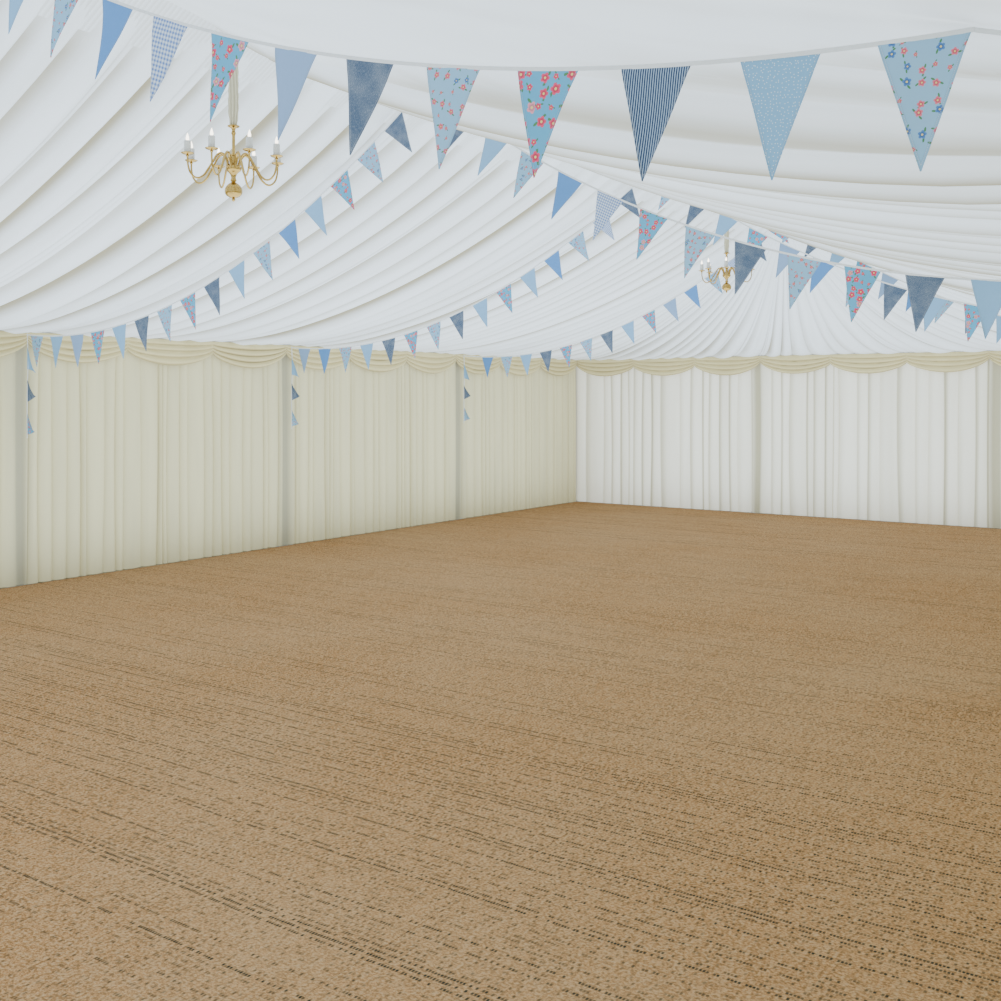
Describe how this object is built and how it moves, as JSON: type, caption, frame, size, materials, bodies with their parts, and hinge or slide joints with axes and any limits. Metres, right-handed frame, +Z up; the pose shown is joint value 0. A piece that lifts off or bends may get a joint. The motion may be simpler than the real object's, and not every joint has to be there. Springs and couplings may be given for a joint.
{
  "type": "frame marquee tent",
  "caption": "Clear-span frame marquee with hipped ends, pleated lining, swag pelmets, chandeliers, bunting and coir matting; one entrance in the near end.",
  "frame": {"origin": "on the ground at the centre of the footprint", "axes": "X across the tent, +Y along the ridge away from the entrance, +Z up"},
  "size_m": [9.01, 15.2, 3.7053],
  "materials": {
    "mill_aluminium": "extruded, satin, light scuffs",
    "white_coated_cover": "white coated weave, slight gloss",
    "ivory_roof_lining": "matt pleated voile",
    "ivory_wall_curtain": "matt pleated curtain cloth",
    "cream_pelmet": "cream swagged cloth, soft sheen",
    "polished_brass": "polished",
    "cream_sleeve": "gathered cloth sleeve",
    "bunting_cotton": "plain, checked, striped and sprigged cotton",
    "coir": "woven coir fibre"
  },
  "bodies": {
    "root": {"portal_1": "mill_aluminium", "portal_2": "mill_aluminium", "portal_3": "mill_aluminium", "portal_4": "mill_aluminium", "end_frame_far": "mill_aluminium", "end_frame_near": "mill_aluminium", "hip_rafters_far": "mill_aluminium", "hip_rafters_near": "mill_aluminium", "ridge_beam": "mill_aluminium", "eave_purlin_left": "mill_aluminium", "eave_purlin_right": "mill_aluminium", "roof_cover_left": "white_coated_cover", "roof_cover_right": "white_coated_cover", "roof_cover_far": "white_coated_cover", "roof_cover_near": "white_coated_cover", "valance_left": "white_coated_cover", "valance_right": "white_coated_cover", "valance_far": "white_coated_cover", "valance_near": "white_coated_cover", "wall_cover_left": "white_coated_cover", "wall_cover_right": "white_coated_cover", "wall_cover_far": "white_coated_cover", "wall_cover_near_left": "white_coated_cover", "wall_cover_near_right": "white_coated_cover", "roof_lining_left": "ivory_roof_lining", "roof_lining_right": "ivory_roof_lining", "roof_lining_far": "ivory_roof_lining", "roof_lining_near": "ivory_roof_lining", "wall_curtain_left": "ivory_wall_curtain", "wall_curtain_right": "ivory_wall_curtain", "wall_curtain_far": "ivory_wall_curtain", "wall_curtain_near_left": "ivory_wall_curtain", "wall_curtain_near_right": "ivory_wall_curtain", "pelmet_left": "cream_pelmet", "pelmet_right": "cream_pelmet", "pelmet_far": "cream_pelmet", "pelmet_near": "cream_pelmet", "chandelier_1": "polished_brass", "chandelier_2": "polished_brass", "sleeve_1": "cream_sleeve", "sleeve_2": "cream_sleeve", "bunting_1": "bunting_cotton", "bunting_2": "bunting_cotton", "bunting_3": "bunting_cotton", "bunting_4": "bunting_cotton", "coir_matting": "coir"}
  },
  "joints": []
}
